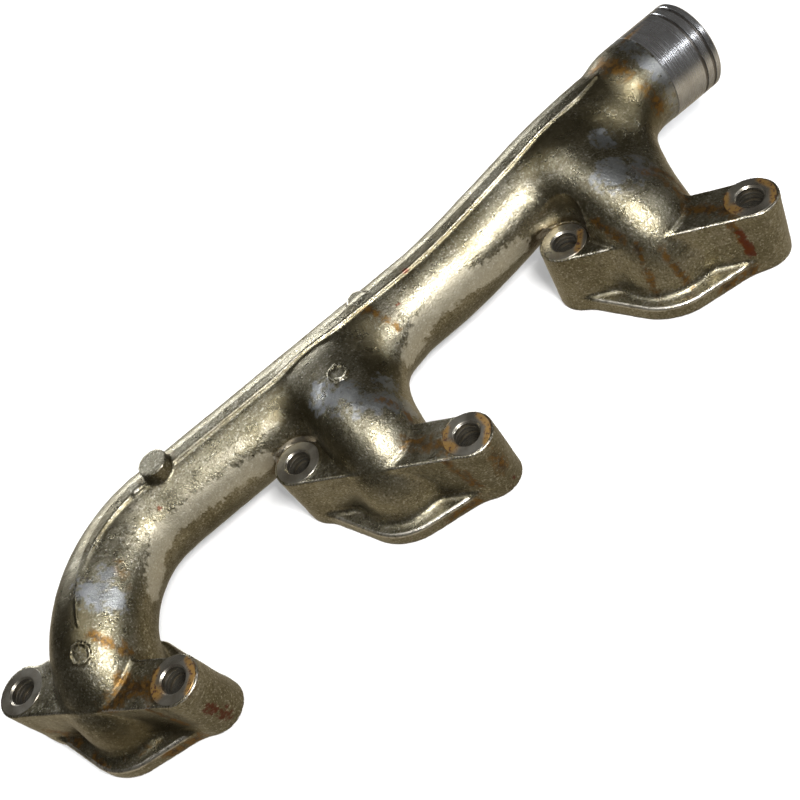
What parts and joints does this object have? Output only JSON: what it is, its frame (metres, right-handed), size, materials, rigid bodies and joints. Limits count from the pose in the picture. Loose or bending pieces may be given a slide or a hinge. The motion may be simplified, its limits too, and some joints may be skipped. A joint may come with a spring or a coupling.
{
  "type": "exhaust manifold",
  "caption": "Cast log-type exhaust manifold section with bolted port flanges, curved runners and a turned outlet spigot that carries sealing rings.",
  "frame": {"origin": "centre of the middle port's bore on the gasket plane", "axes": "+X along the log pipe towards the outlet spigot, +Z away from the cylinder head, +Y from the ports towards the log pipe"},
  "size_m": [0.4443, 0.1235, 0.0744],
  "materials": {
    "cast_skin": "sand-cast, oily, with light rust stains",
    "turned_iron": "fine turned, dull grey",
    "ring_steel": "ground, oil darkened"
  },
  "bodies": {
    "casting": {"elbow_rib": "cast_skin", "elbow_roundel": "cast_skin", "end_elbow": "cast_skin", "log_pipe_front": "cast_skin", "log_pipe_rear": "cast_skin", "log_rib": "cast_skin", "outlet_neck": "cast_skin", "outlet_spigot": "turned_iron", "port_1_bolt_boss_inner": "cast_skin", "port_1_bolt_boss_outer": "cast_skin", "port_1_flange_plate": "cast_skin", "port_1_web": "cast_skin", "port_2_bolt_boss_inner": "cast_skin", "port_2_bolt_boss_outer": "cast_skin", "port_2_flange_plate": "cast_skin", "port_2_runner": "cast_skin", "port_2_web": "cast_skin", "port_3_bolt_boss_inner": "cast_skin", "port_3_bolt_boss_outer": "cast_skin", "port_3_flange_plate": "cast_skin", "port_3_runner": "cast_skin", "port_3_web": "cast_skin", "rib_pad": "cast_skin", "runner_roundel": "cast_skin", "stud_boss": "cast_skin"},
    "inner_ring": {"sealing_ring_inner": "ring_steel"},
    "outer_ring": {"sealing_ring_outer": "ring_steel"}
  },
  "joints": [
    {"name": "inner_ring_turn", "type": "hinge", "parent": "casting", "child": "inner_ring", "pos_m": [0.2303, 0.061, 0.0502], "axis": [1, 0, 0], "continuous": true},
    {"name": "outer_ring_turn", "type": "hinge", "parent": "casting", "child": "outer_ring", "pos_m": [0.2353, 0.061, 0.0502], "axis": [1, 0, 0], "continuous": true}
  ]
}
